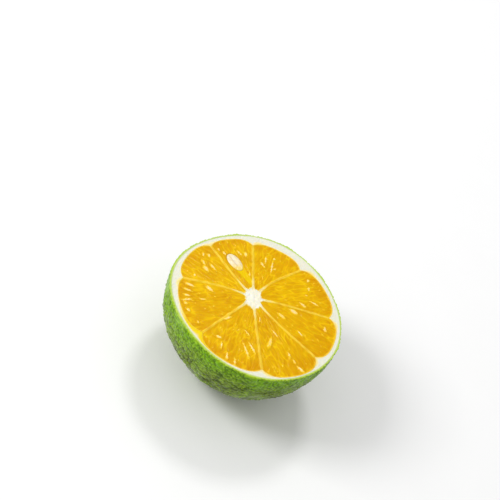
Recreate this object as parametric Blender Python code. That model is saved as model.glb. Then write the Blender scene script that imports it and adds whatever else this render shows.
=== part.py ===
"""Half of a mandarin lime, cut straight across its middle.

The half rests on the small flat spot at its end, with the cut face up and level. The origin is the middle
of that spot, and +Z goes up through the cut. Sizes are in metres, and angles are in degrees round +Z from +X.
It is made of a peel, eight pulp segments round a white core, and one seed in the first segment.
"""

import math

import bmesh
import bpy
from mathutils import Matrix, Vector

# Driving dimensions: the whole half.
EQUATOR_RADIUS = 0.0290
POLE_DEPTH = 0.0297  # from the cut to where the rounded end would close
FULLNESS = 2.2  # the superellipse's power: 2 is an ellipse, and more makes fuller shoulders
REST_RADIUS = 0.0060

# The rind is a little out of round: three low humps and four, each with the place of one of them.
THREE_HUMP_HEIGHT = 0.00035
THREE_HUMP_ANGLE = -37.9
FOUR_HUMP_HEIGHT = 0.00030
FOUR_HUMP_ANGLE = 10.6

# The peel is thick at the pole and in the notches between segments, and thin over each segment's middle.
POLE_WALL = 0.0030
LOBE_POWER = 5.0  # how late the pulp's edge bends in towards a notch

# Clearance between any two pieces that touch.
PIECE_GAP = 0.0003

# The core is an oval column. It starts off the fruit's axis at the cut, and meets the axis at the pole.
CORE_X = -0.0023
CORE_Y = 0.0014
CORE_LONG_RADIUS = 0.0044
CORE_SHORT_RADIUS = 0.0029
CORE_ANGLE = 115.0
CORE_END_SHARE = 0.7  # the core's width at its lower end, as a share of its width at the cut

# How thick a segment still is, from the core to the peel, at its flat lower end.
SEGMENT_TIP = 0.0012

# Each segment, counter-clockwise: the angle round the core of the membrane that it starts at, the peel's
# wall at that membrane's notch, and the peel's wall at the middle of the segment.
SEGMENTS = (
    (114.0, 0.00420, 0.0022),
    (155.5, 0.00360, 0.0014),
    (199.5, 0.00350, 0.0018),
    (251.5, 0.00410, 0.0011),
    (299.5, 0.00330, 0.0009),
    (340.5, 0.00320, 0.0015),
    (383.5, 0.00405, 0.0021),
    (430.0, 0.00450, 0.0025),
)

# The seed, which the cut slices lengthwise, close to its middle.
SEED_LENGTH = 0.0072
SEED_WIDTH = 0.0043
SEED_THICKNESS = 0.0038
SEED_POINT = 0.06  # how much narrower the end towards the core is, and how much wider the other end
SEED_SUNK = 0.0002  # from the cut down to the seed's middle
SEED_PLACE = 0.603  # along its segment, as a share of the way from the core's middle to the peel
SEED_OFF_MIDDLE = 4.5  # degrees round the core from the segment's middle
SEED_TURN = 14.0  # degrees between its long axis and the line from the core

# How finely the curves are divided.
LOBE_STEPS = 8
RIND_LEVELS = 12
PULP_LEVELS = 9
CORE_SIDES = 24
CORE_EDGE_STEPS = 3
SEED_RINGS = 10
SMOOTH_ANGLE = math.radians(40.0)

OBJECT_NAME = "mandarin_lime_half"


def clear_scene():
    """Removes whatever the file opened with."""
    for thing in list(bpy.data.objects):
        bpy.data.objects.remove(thing)


def new_collection(name):
    """A collection in the scene, for the parts or for the cutters."""
    collection = bpy.data.collections.new(name)
    bpy.context.scene.collection.children.link(collection)
    return collection


def finish(name, colour, roughness):
    """A plain Principled material."""
    material = bpy.data.materials.new(name)
    material.use_nodes = True
    shader = material.node_tree.nodes["Principled BSDF"]
    shader.inputs["Base Color"].default_value = (*colour, 1.0)
    shader.inputs["Roughness"].default_value = roughness
    shader.inputs["Metallic"].default_value = 0.0
    material.diffuse_color = (*colour, 1.0)
    return material


# Curves down the half. A level is a pair: the share of the width at the cut that is left, and the share of
# the full depth that has been reached.


def level_at(turn):
    """The level at this angle of the superellipse, which is 0 at the cut and a right angle at the pole."""
    power = 2.0 / FULLNESS
    return math.cos(turn) ** power, math.sin(turn) ** power


def turn_at(width_share):
    """The angle at which this share of the width at the cut is left."""
    return math.acos(width_share ** (FULLNESS / 2.0))


def levels_down_to(width_share, count):
    """Evenly turned levels from the cut down to this share of the width."""
    last = turn_at(width_share)
    return [level_at(last * step / (count - 1)) for step in range(count)]


# Curves round the half.


def rind_radius(angle):
    """The rind's radius at the cut, with its low humps."""
    three = THREE_HUMP_HEIGHT * math.cos(3 * math.radians(angle - THREE_HUMP_ANGLE))
    four = FOUR_HUMP_HEIGHT * math.cos(4 * math.radians(angle - FOUR_HUMP_ANGLE))
    return EQUATOR_RADIUS + three + four


def direction(angle):
    """The unit vector at this angle."""
    return Vector((math.cos(math.radians(angle)), math.sin(math.radians(angle))))


def core_radius(angle):
    """The core's radius at the cut, round its own middle."""
    turn = math.radians(angle - CORE_ANGLE)
    across_long = CORE_SHORT_RADIUS * math.cos(turn)
    across_short = CORE_LONG_RADIUS * math.sin(turn)
    return CORE_LONG_RADIUS * CORE_SHORT_RADIUS / math.hypot(across_long, across_short)


def notch_point(number):
    """Where a segment's first membrane meets the peel, at the cut."""
    angle, notch_wall, _ = SEGMENTS[number % len(SEGMENTS)]
    core = Vector((CORE_X, CORE_Y))
    along = core.dot(direction(angle))
    reach = EQUATOR_RADIUS - notch_wall
    distance = math.sqrt(reach**2 - core.length_squared + along**2) - along
    return core + distance * direction(angle)


def lobe_curve(number):
    """The peel's inner edge round one segment at the cut: (angle, radius) from notch to notch."""
    first = notch_point(number)
    second = notch_point(number + 1)
    start = math.degrees(math.atan2(first.y, first.x))
    sweep = (math.degrees(math.atan2(second.y, second.x)) - start) % 360.0
    lobe_wall = SEGMENTS[number][2]
    curve = []
    for step in range(LOBE_STEPS + 1):
        across = math.sin(math.pi * (step / LOBE_STEPS - 0.5))
        notch_radius = first.length if across < 0 else second.length
        lobe_radius = EQUATOR_RADIUS - lobe_wall
        radius = lobe_radius + (notch_radius - lobe_radius) * abs(across) ** LOBE_POWER
        curve.append((start + sweep * (across + 1) / 2, radius))
    return curve


# Heights that follow from the driving dimensions.
RIND = levels_down_to(REST_RADIUS / EQUATOR_RADIUS, RIND_LEVELS)
HEIGHT = POLE_DEPTH * RIND[-1][1]
NARROWEST_NOTCH = EQUATOR_RADIUS - max(notch_wall for _, notch_wall, _ in SEGMENTS)
LOWER_CORE_RADIUS = CORE_LONG_RADIUS * CORE_END_SHARE
CORE_DRIFT = math.hypot(CORE_X, CORE_Y)
FLOOR_SHARE = (LOWER_CORE_RADIUS + SEGMENT_TIP + 2 * PIECE_GAP) / (NARROWEST_NOTCH - CORE_DRIFT)
PULP = levels_down_to(FLOOR_SHARE, PULP_LEVELS)
CAVITY_DEPTH = (HEIGHT - POLE_WALL) / PULP[-1][1]


def ring(points, depth):
    """Plan points set at this depth under the cut."""
    return [Vector((point[0], point[1], HEIGHT - depth)) for point in points]


def polar(curve, share, inset=0.0):
    """An (angle, radius) curve as plan points, drawn in by inset and then narrowed to a share of its width."""
    return [direction(angle) * (radius - inset) * share for angle, radius in curve]


def core_middle(share):
    """The core's middle where this share of the width is left."""
    return Vector((CORE_X, CORE_Y)) * share


def core_share(share):
    """The core's width where this share of the fruit's width is left, as a share of its width at the cut."""
    return CORE_END_SHARE + (1.0 - CORE_END_SHARE) * share


def lofted_mesh(name, rings):
    """A closed mesh through rings of equal point counts, with a flat face over the first and the last."""
    shape = bmesh.new()
    rows = [[shape.verts.new(point) for point in points] for points in rings]
    count = len(rows[0])
    for upper, lower in zip(rows, rows[1:]):
        for step in range(count):
            after = (step + 1) % count
            shape.faces.new((upper[step], upper[after], lower[after], lower[step]))
    shape.faces.new(rows[0])
    shape.faces.new(rows[-1])
    bmesh.ops.recalc_face_normals(shape, faces=shape.faces)
    mesh = bpy.data.meshes.new(name)
    shape.to_mesh(mesh)
    shape.free()
    return mesh


def add_part(name, mesh, material, collection):
    """One named piece, shaded smooth except at its cut edges."""
    part = bpy.data.objects.new(name, mesh)
    mesh.materials.append(material)
    mesh.shade_smooth()
    mesh.set_sharp_from_angle(angle=SMOOTH_ANGLE)
    collection.objects.link(part)
    return part


def make_peel(collection):
    """The rind outside, from the rest spot up, and the lobed hollow inside, down to its floor."""
    inner = [point for number in range(len(SEGMENTS)) for point in lobe_curve(number)[:-1]]
    outer = [(angle, rind_radius(angle)) for angle, _ in inner]
    rings = []
    for share, sunk in reversed(RIND):
        rings.append(ring(polar(outer, share), POLE_DEPTH * sunk))
    for share, sunk in PULP:
        rings.append(ring(polar(inner, share), CAVITY_DEPTH * sunk))
    material = finish("green_rind", (0.155, 0.305, 0.022), 0.42)
    return add_part("peel", lofted_mesh("peel", rings), material, collection)


def keep_off_membrane(point, middle, angle, side):
    """The point, moved sideways if it is nearer than half the gap to the membrane at this angle."""
    across = direction(angle + 90.0 * side)
    short_of = PIECE_GAP / 2 - (point - middle).dot(across)
    return point + across * max(short_of, 0.0)


def segment_outline(number, share):
    """A segment's plan outline where this share of the width is left."""
    start = SEGMENTS[number][0]
    end = SEGMENTS[(number + 1) % len(SEGMENTS)][0]
    sweep = (end - start) % 360.0
    middle = core_middle(share)
    points = polar(lobe_curve(number), share, PIECE_GAP)
    for step in range(CORE_EDGE_STEPS, -1, -1):
        angle = start + sweep * step / CORE_EDGE_STEPS
        reach = core_radius(angle) * core_share(share) + PIECE_GAP
        points.append(middle + direction(angle) * reach)
    points = [keep_off_membrane(point, middle, start, 1) for point in points]
    return [keep_off_membrane(point, middle, start + sweep, -1) for point in points]


def make_segment(number, material, collection):
    """A wedge of pulp that narrows towards the pole between the core and the peel."""
    name = f"segment_{number + 1}"
    rings = []
    for share, sunk in PULP:
        depth = (CAVITY_DEPTH - PIECE_GAP) * sunk
        rings.append(ring(segment_outline(number, share), depth))
    return add_part(name, lofted_mesh(name, rings), material, collection)


def make_core(collection):
    """The white column in the middle, which ends level with the segments."""
    angles = [360.0 * side / CORE_SIDES for side in range(CORE_SIDES)]
    rings = []
    for share, sunk in PULP:
        reach = core_share(share)
        points = [core_middle(share) + direction(angle) * core_radius(angle) * reach for angle in angles]
        rings.append(ring(points, (CAVITY_DEPTH - PIECE_GAP) * sunk))
    material = finish("white_pith", (0.90, 0.85, 0.72), 0.70)
    return add_part("core", lofted_mesh("core", rings), material, collection)


def seed_mesh(name, extra):
    """An egg with its long axis on X and its narrow end at +X, larger by extra all round."""
    shape = bmesh.new()
    bmesh.ops.create_uvsphere(shape, u_segments=2 * SEED_RINGS, v_segments=SEED_RINGS, radius=1.0)
    bmesh.ops.rotate(shape, matrix=Matrix.Rotation(math.radians(90.0), 3, "Y"), verts=shape.verts)
    for point in shape.verts:
        narrowing = 1.0 - SEED_POINT * point.co.x
        point.co.x *= SEED_LENGTH / 2 + extra
        point.co.y *= (SEED_WIDTH / 2 + extra) * narrowing
        point.co.z *= (SEED_THICKNESS / 2 + extra) * narrowing
    bmesh.ops.recalc_face_normals(shape, faces=shape.faces)
    mesh = bpy.data.meshes.new(name)
    shape.to_mesh(mesh)
    shape.free()
    return mesh


def place_seed(thing):
    """Sets the seed, or the cutter for its pocket, in the first segment."""
    start = SEGMENTS[0][0]
    end = SEGMENTS[1][0]
    bearing = (start + end) / 2 + SEED_OFF_MIDDLE
    core = core_middle(1.0)
    along = core.dot(direction(bearing))
    peel = EQUATOR_RADIUS - SEGMENTS[0][2]
    to_peel = math.sqrt(peel**2 - core.length_squared + along**2) - along
    place = core + direction(bearing) * to_peel * SEED_PLACE
    thing.location = (place.x, place.y, HEIGHT - SEED_SUNK)
    thing.rotation_euler = (0.0, 0.0, math.radians(bearing + SEED_TURN + 180.0))


def cut_away(part, cutter):
    """Takes the cutter's shape out of a part."""
    modifier = part.modifiers.new("cut", "BOOLEAN")
    modifier.operation = "DIFFERENCE"
    modifier.solver = "EXACT"
    modifier.object = cutter


def as_cutter(thing, collection):
    """Marks an object as a tool that cuts a part and isn't one."""
    thing.hide_render = True
    thing.display_type = "WIRE"
    collection.objects.link(thing)


def make_knife(collection):
    """A block whose lower face is the plane of the cut."""
    shape = bmesh.new()
    bmesh.ops.create_cube(shape, size=2 * EQUATOR_RADIUS)
    mesh = bpy.data.meshes.new("knife")
    shape.to_mesh(mesh)
    shape.free()
    knife = bpy.data.objects.new("knife", mesh)
    knife.location = (0.0, 0.0, HEIGHT + EQUATOR_RADIUS)
    as_cutter(knife, collection)
    return knife


def make_seed(holder, collection, cutters):
    """The seed, sliced level with the cut face, and its pocket in the segment that holds it."""
    seed = add_part("seed", seed_mesh("seed", 0.0), finish("seed_coat", (0.84, 0.74, 0.50), 0.40), collection)
    place_seed(seed)
    cut_away(seed, make_knife(cutters))
    pocket = bpy.data.objects.new("seed_pocket", seed_mesh("seed_pocket", PIECE_GAP))
    place_seed(pocket)
    as_cutter(pocket, cutters)
    cut_away(holder, pocket)


def main():
    clear_scene()
    parts = new_collection(OBJECT_NAME)
    cutters = new_collection("cutters")
    pulp = finish("orange_pulp", (0.84, 0.46, 0.006), 0.30)
    make_peel(parts)
    segments = [make_segment(number, pulp, parts) for number in range(len(SEGMENTS))]
    make_core(parts)
    make_seed(segments[0], parts, cutters)


main()
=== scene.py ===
# %% [markdown]
# # A mandarin lime, cut in half
#
# This lesson builds the looks of half a mandarin lime: a pitted green rind, a white pith lining, eight
# wedges of orange pulp round a white core, and the one seed that the knife went through. The solids that
# the physics uses are loaded first and stay as they are. Every piece below is drawn in the space of one of
# them, in the same frame: the origin is under the fruit's resting spot, +Z is up, and the cut face is level.

# %% Load the frame
import math

import bpy
import numpy as np
from mathutils import Matrix, Vector
from mathutils.kdtree import KDTree


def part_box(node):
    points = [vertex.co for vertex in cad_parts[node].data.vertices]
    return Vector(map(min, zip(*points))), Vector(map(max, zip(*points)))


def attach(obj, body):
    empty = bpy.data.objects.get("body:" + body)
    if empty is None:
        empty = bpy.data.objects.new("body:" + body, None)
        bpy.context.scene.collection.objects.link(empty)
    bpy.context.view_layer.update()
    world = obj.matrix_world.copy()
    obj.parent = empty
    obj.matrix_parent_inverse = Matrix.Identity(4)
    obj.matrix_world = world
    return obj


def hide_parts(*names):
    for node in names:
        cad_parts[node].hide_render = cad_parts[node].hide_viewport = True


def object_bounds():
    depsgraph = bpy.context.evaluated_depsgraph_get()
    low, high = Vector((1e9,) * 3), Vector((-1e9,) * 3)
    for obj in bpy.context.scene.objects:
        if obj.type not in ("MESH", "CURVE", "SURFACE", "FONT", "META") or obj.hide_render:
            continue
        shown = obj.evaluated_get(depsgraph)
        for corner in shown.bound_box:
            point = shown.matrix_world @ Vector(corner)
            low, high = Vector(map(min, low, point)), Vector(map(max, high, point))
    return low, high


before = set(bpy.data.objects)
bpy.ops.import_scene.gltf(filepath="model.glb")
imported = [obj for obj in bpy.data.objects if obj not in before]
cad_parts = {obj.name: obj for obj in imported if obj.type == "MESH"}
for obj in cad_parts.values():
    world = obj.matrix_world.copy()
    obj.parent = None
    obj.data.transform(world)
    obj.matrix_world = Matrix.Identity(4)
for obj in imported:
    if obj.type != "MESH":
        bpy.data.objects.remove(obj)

cad_low, cad_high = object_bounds()
MM = 0.001
HEIGHT = cad_high.z / MM
print(f"the half is {HEIGHT:.2f} mm high, and its cut face is at the top")

# %% [markdown]
# ## The sizes of the fruit
#
# The rind's sizes are the ones that its solid was designed with, in millimetres and degrees. A fruit isn't
# round, so the rind has three low humps and four lower ones. The pulp is eight wedges of different widths:
# each starts at a membrane, and the peel is thick at the membrane's end and thin over the wedge's middle.
# Only a hairline parts the wedges here, and their membranes bend. The solids have wider, straight gaps.

# %% Sizes
EQUATOR_RADIUS = 29.0  # the rind's mean radius at the cut
POLE_DEPTH = 29.7  # how far under the cut the rind would close, if it had no flat spot
FULLNESS = 2.2  # the superellipse's power: 2 is a plain ellipse, and more has fuller shoulders
REST_RADIUS = 6.0  # the flat spot that the fruit rests on
THREE_HUMPS = (0.35, -37.9)  # how high three humps round the rind are, and where one of them is
FOUR_HUMPS = (0.30, 10.6)  # the same for four humps
POLE_WALL = 3.0  # the peel's thickness at the bottom
CORE_MIDDLE = np.array((-2.3, 1.4))  # the core's middle at the cut, a little off the fruit's axis
CORE_END_SHARE = 0.7  # the core's width where the pulp would close, as a share of its width at the cut

# Each wedge: the angle round the core of its first membrane where it meets the peel, how many degrees
# further on that membrane starts at the core, the peel at the notch, and the peel at the wedge's middle.
WEDGES = (
    (114.0, 0.0, 4.50, 2.45),
    (153.5, 3.0, 3.60, 1.75),
    (200.2, -11.0, 3.55, 2.15),
    (251.6, 0.0, 4.55, 1.35),
    (299.3, -1.5, 3.50, 1.00),
    (342.5, -5.0, 4.20, 1.80),
    (382.0, 5.0, 4.50, 2.35),
    (429.0, 12.0, 5.10, 2.90),
)
FLOOR_SHARE = 0.24  # the pulp's width at its floor, as a share of its width at the cut
SEAM = 0.025  # the hairline left between two pieces that touch
print(f"{len(WEDGES)} wedges round a core at {CORE_MIDDLE} mm")

# %% [markdown]
# ## Curves that every piece shares
#
# The half's outline is a superellipse, a circle with fuller shoulders. The same family of curves, a little
# smaller, bounds the pulp. Writing them as functions of whole arrays lets numpy work out a hundred
# thousand points at once, where a Python loop would be slow.

# %% Shared curves


def direction(angle):
    """Unit plan vectors at these angles, which are in degrees."""
    turn = np.radians(angle)
    return np.stack([np.cos(turn), np.sin(turn)], axis=-1)


def rind_radius(angle):
    """The rind's radius at the cut."""
    three = THREE_HUMPS[0] * np.cos(3 * np.radians(angle - THREE_HUMPS[1]))
    four = FOUR_HUMPS[0] * np.cos(4 * np.radians(angle - FOUR_HUMPS[1]))
    return EQUATOR_RADIUS + three + four


def pulp_levels(count, clearance=0.0):
    """Levels down the pulp, as (width share, depth), from just under the cut to its floor."""
    floor_depth = HEIGHT - POLE_WALL - clearance
    full_depth = floor_depth / (1.0 - FLOOR_SHARE**FULLNESS) ** (1.0 / FULLNESS)
    turns = np.linspace(0.0, math.acos(FLOOR_SHARE ** (FULLNESS / 2.0)), count + 1)[1:]
    shares = np.cos(turns) ** (2.0 / FULLNESS)
    return list(zip(shares, full_depth * np.sin(turns) ** (2.0 / FULLNESS)))


def core_share(share):
    """The core's width at a level, as a share of its width at the cut. It narrows less than the pulp."""
    return CORE_END_SHARE + (1.0 - CORE_END_SHARE) * share


def smooth_step(low, high, value):
    """0 below low, 1 above high, and a smooth climb between them."""
    share = np.clip((value - low) / (high - low), 0.0, 1.0)
    return share * share * (3.0 - 2.0 * share)


print(f"the pulp's floor is {pulp_levels(8)[-1][1]:.1f} mm under the cut")

# %% [markdown]
# ## Random ripples
#
# A fruit has no straight edge and no even surface. Adding up many faint waves that run in random
# directions gives a smooth field that never repeats, and a fixed seed makes it the same on every run.
# Blender's noise textures look alike, but only a finish can use them, and here the meshes need it too.

# %% Ripples
RIPPLE_WAVES = 28
RIPPLE_PEAK = 1.6  # about how high the peaks of such a sum are


def ripples(points, wavelength, seed):
    """A smooth random field over points, made of many faint waves, mostly between -1 and 1."""
    dice = np.random.default_rng(seed)
    heading = dice.normal(size=(points.shape[-1], RIPPLE_WAVES))
    heading *= dice.uniform(0.7, 1.4, RIPPLE_WAVES) / np.linalg.norm(heading, axis=0)
    start = dice.uniform(0.0, 2.0 * math.pi, RIPPLE_WAVES)
    field = np.sin(points @ heading * (2.0 * math.pi / wavelength) + start).sum(axis=-1)
    return field / math.sqrt(RIPPLE_WAVES / 2.0) / RIPPLE_PEAK


print(f"ripples along a line: {np.round(ripples(np.arange(6.0)[:, None], 7.0, 1), 2)}")

# %% [markdown]
# ## The edge of the pulp
#
# At the cut the pulp's outline is lobed: it swells out over the middle of each wedge, and turns in to a
# notch at each membrane. The membranes' ends are worked out first, from their angles round the core. Then
# one curve goes from each end to the next, and a high power keeps the lobes round and the notches narrow.

# %% Pulp edge
LOBE_POWER = 4.5


def notch_point(number):
    """Where a wedge's first membrane meets the peel."""
    angle, _, notch_wall, _ = WEDGES[number % len(WEDGES)]
    heading = direction(angle)
    along = CORE_MIDDLE @ heading
    reach = EQUATOR_RADIUS - notch_wall
    distance = math.sqrt(reach**2 - CORE_MIDDLE @ CORE_MIDDLE + along**2) - along
    return CORE_MIDDLE + distance * heading


NOTCHES = [notch_point(number) for number in range(len(WEDGES))]
NOTCH_ANGLES = [math.degrees(math.atan2(point[1], point[0])) for point in NOTCHES]
NOTCH_RADII = [float(np.hypot(*point)) for point in NOTCHES]


def lobe_edge(number, across):
    """The pulp's outer edge over one wedge as (angle, radius), for across from -1 to 1."""
    after = (number + 1) % len(WEDGES)
    sweep = (NOTCH_ANGLES[after] - NOTCH_ANGLES[number]) % 360.0
    notch = np.where(across < 0, NOTCH_RADII[number], NOTCH_RADII[after])
    lobe = EQUATOR_RADIUS - WEDGES[number][3]
    radius = lobe + (notch - lobe) * np.abs(across) ** LOBE_POWER
    return NOTCH_ANGLES[number] + sweep * (across + 1.0) / 2.0, radius


def pulp_edge(angle):
    """The pulp's outer radius at any angles, over all the wedges."""
    radius = np.zeros_like(angle)
    for number in range(len(WEDGES)):
        after = (number + 1) % len(WEDGES)
        sweep = (NOTCH_ANGLES[after] - NOTCH_ANGLES[number]) % 360.0
        gone = (angle - NOTCH_ANGLES[number]) % 360.0
        inside = gone < sweep
        radius[inside] = lobe_edge(number, 2.0 * gone[inside] / sweep - 1.0)[1]
    return radius


print(f"the notches are at {np.round(NOTCH_ANGLES)} degrees")

# %% [markdown]
# ## From rings to a closed surface
#
# Most pieces here are rings of points, one inside or above the next. Rings of different lengths need
# different numbers of points, or the mesh would be crowded at the pole and coarse at the cut. So the strip
# between two rings is zipped up: it steps along whichever ring is behind, and makes one triangle a step.

# %% Zipped rings


def zip_rings(count_a, count_b):
    """Triangles between two closed rings: pairs of (ring, place) as places in a joined list."""
    steps_a = (np.arange(count_a) + 1.0) / count_a if count_a > 1 else np.zeros(0)
    steps_b = (np.arange(count_b) + 1.0) / count_b + 1e-9 if count_b > 1 else np.zeros(0)
    steps = np.concatenate([steps_a, steps_b])
    on_a = np.concatenate([np.ones(len(steps_a), bool), np.zeros(len(steps_b), bool)])
    order = np.argsort(steps, kind="stable")
    on_a = on_a[order]
    place_a = np.cumsum(on_a) - on_a
    place_b = np.cumsum(~on_a) - ~on_a
    now_a = place_a % count_a
    now_b = count_a + place_b % count_b
    next_a = (place_a + 1) % count_a
    next_b = count_a + (place_b + 1) % count_b
    third = np.where(on_a, next_a, next_b)
    return np.stack([now_a, third, now_b], axis=1)


class Rings:
    """A list of closed rings of points that becomes one closed mesh."""

    def __init__(self):
        self.points = []
        self.values = []

    def add(self, points, **values):
        """One ring, with the values that its points carry into the mesh."""
        self.points.append(np.atleast_2d(points))
        self.values.append(values)

    def faces(self):
        """All the triangles, ring to ring."""
        found = []
        start = 0
        for one, two in zip(self.points, self.points[1:]):
            found.append(zip_rings(len(one), len(two)) + start)
            start += len(one)
        return np.concatenate(found)

    def joined(self, name):
        """One value over all the points."""
        spread = [np.broadcast_to(v[name], len(p)) for p, v in zip(self.points, self.values)]
        return np.concatenate(spread)


print(f"a ring of 6 points and a ring of 8 zip up with {len(zip_rings(6, 8))} triangles")

# %% [markdown]
# ## From triangles to a piece
#
# Blender's meshes take whole arrays of points and triangles, which is far faster than adding them one by
# one. Each piece also carries values at its points, such as how deep in a crease a point is, and its
# finish reads them. The sign of a mesh's volume tells whether its triangles face in or out.

# %% Pieces


def build_piece(name, points, faces, values, material, flat_angle=None):
    """A mesh object from points in millimetres, with its values as attributes."""
    mesh = bpy.data.meshes.new(name)
    mesh.vertices.add(len(points))
    mesh.vertices.foreach_set("co", (points * MM).astype(np.float32).ravel())
    mesh.loops.add(faces.size)
    mesh.loops.foreach_set("vertex_index", faces.astype(np.int32).ravel())
    mesh.polygons.add(len(faces))
    mesh.polygons.foreach_set("loop_start", np.arange(len(faces), dtype=np.int32) * 3)
    mesh.update(calc_edges=True)
    mesh.validate()
    for value_name, value in values.items():
        attribute = mesh.attributes.new(value_name, "FLOAT", "POINT")
        attribute.data.foreach_set("value", np.asarray(value, np.float32))
    mesh.materials.append(material)
    mesh.shade_smooth()
    if flat_angle is not None:
        mesh.set_sharp_from_angle(angle=math.radians(flat_angle))
    piece = bpy.data.objects.new(name, mesh)
    bpy.context.scene.collection.objects.link(piece)
    print(f"{name}: {len(faces)} triangles")
    return piece


def outward(points, faces):
    """The triangles, all turned over if they face in."""
    corners = points[faces]
    volume = np.einsum("ij,ij->i", corners[:, 0], np.cross(corners[:, 1], corners[:, 2])).sum()
    return faces[:, ::-1] if volume < 0 else faces


# %% [markdown]
# ## Shader sums that read like sums
#
# A material is a graph of nodes, and graphs are hard to read as text. The class below wraps one output of a
# node, so that `0.3 + 0.5 * crease` adds the two Math nodes that it needs.

# %% Wires


class Wire:
    """One output of a node. Sums with numbers and other wires add Math nodes."""

    def __init__(self, finish, socket):
        self.finish = finish
        self.socket = socket

    def sum(self, operation, first, second):
        """A Math node on two numbers or wires."""
        return self.finish.node("ShaderNodeMath", {"operation": operation}, {0: first, 1: second})

    def __add__(self, other):
        return self.sum("ADD", self, other)

    __radd__ = __add__

    def __sub__(self, other):
        return self.sum("SUBTRACT", self, other)

    def __rsub__(self, other):
        return self.sum("SUBTRACT", other, self)

    def __mul__(self, other):
        return self.sum("MULTIPLY", self, other)

    __rmul__ = __mul__


# %% [markdown]
# ## Finishes
#
# Every finish starts from Blender's Principled shader, which can be skin, pith, juice or seed alike. What
# is the same all over is set on its sockets when the finish is made. What changes over the surface comes
# from the mesh's values and from noise. Any node but a sum comes from one method, `node`, which sets the
# node up, fills its sockets with numbers or links, and hands one output back.

# %% Finishes


class Finish:
    """A material that is put together node by node round one Principled shader."""

    def __init__(self, name, **constants):
        self.material = bpy.data.materials.new(name)
        self.material.use_nodes = True
        self.tree = self.material.node_tree
        self.shader = self.tree.nodes["Principled BSDF"]
        for socket_name, value in constants.items():
            self.shader.inputs[socket_name.replace("_", " ")].default_value = value

    def plug(self, socket, value):
        """Sets a socket to a number or a colour, or links a wire to it."""
        if isinstance(value, Wire):
            self.tree.links.new(value.socket, socket)
        else:
            socket.default_value = value

    def node(self, kind, settings, sockets, output=0):
        """Any node: its settings first, then its sockets. Gives back one output as a wire."""
        made = self.tree.nodes.new(kind)
        for setting, value in settings.items():
            setattr(made, setting, value)
        for place, value in sockets.items():
            self.plug(made.inputs[place], value)
        return Wire(self, made.outputs[output])

    def value(self, name):
        """A value that the mesh carries."""
        return self.node("ShaderNodeAttribute", {"attribute_name": name}, {}, "Fac")

    def place(self):
        """Where the point is in the frame, in metres."""
        return self.node("ShaderNodeTexCoord", {}, {}, "Object")

    def stretched(self, along, across):
        """The point's place in a wedge: out from the core, and round it, as one vector."""
        return self.node("ShaderNodeCombineXYZ", {}, {0: along, 1: across})

    def scaled(self, where, factors):
        """A place with each of its axes scaled, to make noise long one way and short another."""
        return self.node("ShaderNodeVectorMath", {"operation": "MULTIPLY"}, {0: where, 1: factors})

    def noise(self, where, scale, detail=2.0, roughness=0.5):
        """Smooth noise from 0 to 1."""
        settings = {"noise_dimensions": "3D"}
        sockets = {"Vector": where, "Scale": scale, "Detail": detail, "Roughness": roughness}
        return self.node("ShaderNodeTexNoise", settings, sockets, "Fac")

    def fade(self, factor, low, high):
        """0 where the factor is low, 1 where it is high."""
        settings = {"interpolation_type": "SMOOTHSTEP", "clamp": True}
        return self.node("ShaderNodeMapRange", settings, {0: factor, 1: low, 2: high, 3: 0.0, 4: 1.0})

    def blend(self, factor, first, second):
        """A colour between two colours."""
        first = first if isinstance(first, Wire) else (*first, 1.0)
        second = second if isinstance(second, Wire) else (*second, 1.0)
        settings = {"data_type": "RGBA", "clamp_factor": True}
        return self.node("ShaderNodeMix", settings, {0: factor, 6: first, 7: second}, 2)

    def paint(self, **sockets):
        """Links or sets the shader's own sockets."""
        for socket_name, value in sockets.items():
            self.plug(self.shader.inputs[socket_name.replace("_", " ")], value)

    def bump(self, height, distance, strength=1.0):
        """Fine relief on top of the mesh's own, with its depth in metres."""
        sockets = {"Height": height, "Distance": distance, "Strength": strength}
        self.paint(Normal=self.node("ShaderNodeBump", {}, sockets, "Normal"))

    def done(self):
        """The material, ready for a mesh."""
        print(f"{self.material.name}: {len(self.tree.nodes)} nodes")
        return self.material


# %% [markdown]
# ## The rind's finish
#
# A mandarin lime is picked green. Its rind's oil glands show as small waxy domes, each gland a little
# lighter or darker than the next, with painted shade in the creases between them and a painted highlight on
# their tops. Just under the cut the green is painted yellow, as painted light that comes through the thin
# edge, and further down it is painted duller and browner, as painted shade with a painted grey sheen. The
# mesh carries these facts as values at its points, so that colour and relief always agree. Only the streaks
# and pits that are finer than the mesh, or softer than a gland, come from noise, and their pale and dark
# marks are painted highlights and painted shade. A sheen gives the dusty bloom that wax has where it is
# seen edge on.

# %% Rind finish
DEEP_GREEN = (0.090, 0.140, 0.006)
LEAF_GREEN = (0.170, 0.310, 0.006)
# painted light in the band under the cut
LIT_UPPER_GREEN = (0.215, 0.490, 0.001)
PALE_GLAND = (0.270, 0.400, 0.012)
# painted highlight on the tops of the glands
DOME_HIGHLIGHT = (0.340, 0.500, 0.030)
# painted highlight in the pale streaks
STREAK_HIGHLIGHT = (0.360, 0.570, 0.030)
# painted shade in the dark streaks: a green one near the cut, and a grey-brown one low on the fruit
STREAK_SHADE = ((0.085, 0.170, 0.004), (0.060, 0.060, 0.012))  # near the cut, and low on the fruit
# painted shade in the pits low on the fruit
PIT_SHADE = (0.050, 0.052, 0.012)
# painted grey sheen on the pits low on the fruit
PIT_SHEEN = (0.300, 0.380, 0.110)
# painted shade in the creases between glands
CREASE_SHADE = (0.035, 0.065, 0.003)
# painted light along the thin edge just under the cut
LIT_EDGE_GREEN = (0.400, 0.580, 0.010)
RIM_GREEN = (0.430, 0.600, 0.040)
INSIDE_GREEN = (0.62, 0.72, 0.30)
SCAR_BROWN = (0.150, 0.075, 0.035)
SCAR_PALE = (0.420, 0.360, 0.200)


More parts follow.
